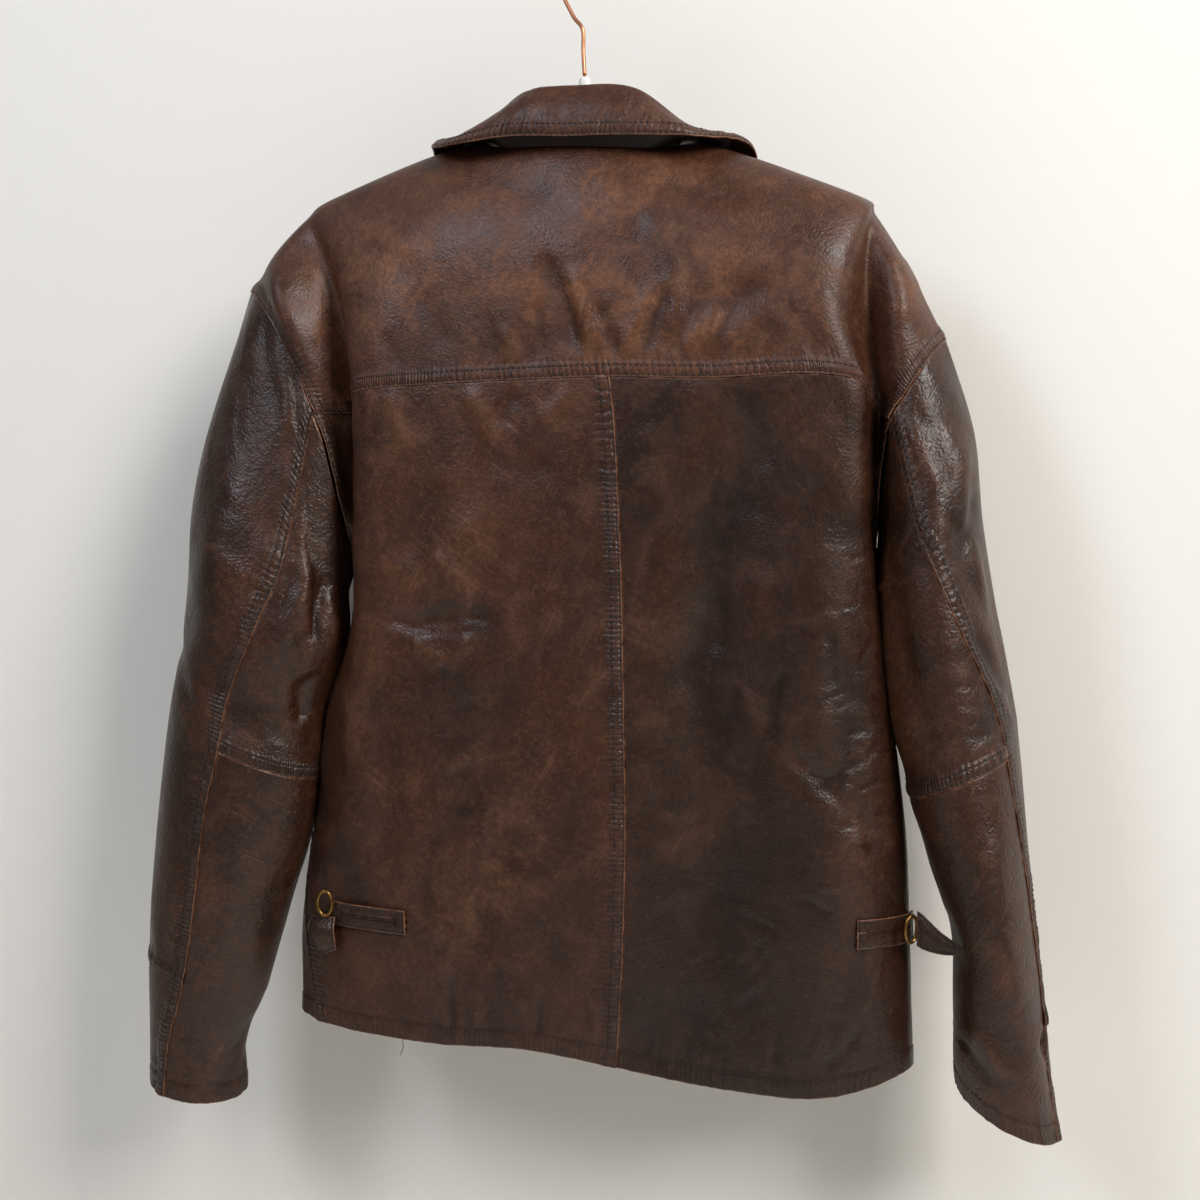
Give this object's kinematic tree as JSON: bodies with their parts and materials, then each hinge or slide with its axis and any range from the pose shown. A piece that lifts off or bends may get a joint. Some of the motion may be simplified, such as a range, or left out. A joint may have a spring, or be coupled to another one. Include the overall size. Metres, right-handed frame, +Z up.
{
  "type": "leather jacket on a hanger",
  "caption": "Worn brown leather jacket with yoke, turn-down collar, seamed sleeves and waist tabs, hanging closed on a plastic hanger with a wire hook",
  "frame": {"origin": "the point under the top of the hook's arc, where the hanger bears on what holds it", "axes": "+Z up, -Y the side of the jacket's back, +X to the right when the back is seen"},
  "size_m": [0.7145, 0.1279, 0.888],
  "materials": {
    "leather": "worn semi-gloss brown cowhide with scuffs",
    "leather_dark": "darker brown leather, less worn",
    "brass": "aged brass",
    "horn": "dark horn-like button",
    "white_plastic": "white moulded plastic",
    "copper": "copper-coloured wire"
  },
  "bodies": {
    "root": {"back_yoke": "leather", "back_left": "leather", "back_right": "leather", "front_left": "leather", "front_right": "leather", "collar_fall": "leather", "left_sleeve_upper": "leather", "left_sleeve_forearm": "leather", "left_sleeve_under": "leather", "left_sleeve_elbow": "leather", "right_sleeve_upper": "leather", "right_sleeve_forearm": "leather", "right_sleeve_under": "leather", "right_sleeve_elbow": "leather", "collar_stand": "leather_dark", "tab_left": "leather_dark", "tab_left_loop": "leather_dark", "tab_right": "leather_dark", "tab_right_end": "leather_dark", "ring_left": "brass", "ring_right": "brass", "button_1": "horn", "button_2": "horn", "button_3": "horn", "button_4": "horn", "button_5": "horn", "hanger": "white_plastic", "hanger_hook": "copper"}
  },
  "joints": []
}
